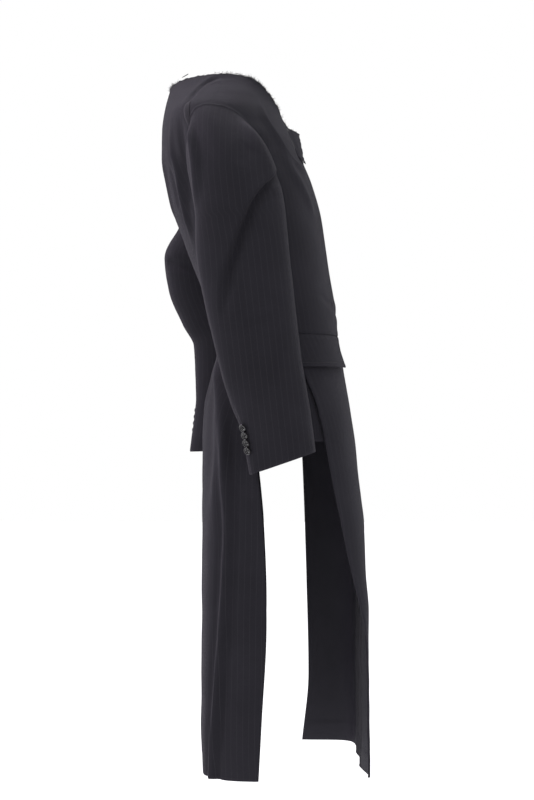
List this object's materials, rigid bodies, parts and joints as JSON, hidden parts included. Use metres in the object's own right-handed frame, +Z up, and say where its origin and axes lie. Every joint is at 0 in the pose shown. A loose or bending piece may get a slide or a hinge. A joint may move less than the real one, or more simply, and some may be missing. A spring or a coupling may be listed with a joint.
{
  "type": "pinstripe coat",
  "caption": "Worn collarless tailored coat in dark pinstriped wool, hollow, with a hip-length side body, long front and back panels open at the sides, and bent sleeves.",
  "frame": {"origin": "midway between the two points where the neck edge crosses the shoulders, where the wearer holds the coat up", "axes": "+Z up, -Y the coat's front, -X the wearer's right"},
  "size_m": [0.5643, 0.3736, 1.2174],
  "materials": {
    "wool": "dry worsted with a soft sheen and fine pale stripes down the length",
    "horn": "glossy black"
  },
  "bodies": {
    "root": {"front_right": "wool", "front_left": "wool", "back_right": "wool", "back_left": "wool", "side_right": "wool", "side_left": "wool", "skirt_front_right": "wool", "skirt_front_left": "wool", "sleeve_top_right": "wool", "sleeve_top_left": "wool", "sleeve_under_right": "wool", "sleeve_under_left": "wool", "pocket_flap_right": "wool", "pocket_flap_left": "wool", "lapel_stub_right": "wool", "lapel_stub_left": "wool", "cuff_button_right_1": "horn", "cuff_button_right_2": "horn", "cuff_button_right_3": "horn", "cuff_button_right_4": "horn", "cuff_button_left_1": "horn", "cuff_button_left_2": "horn", "cuff_button_left_3": "horn", "cuff_button_left_4": "horn"}
  },
  "joints": []
}
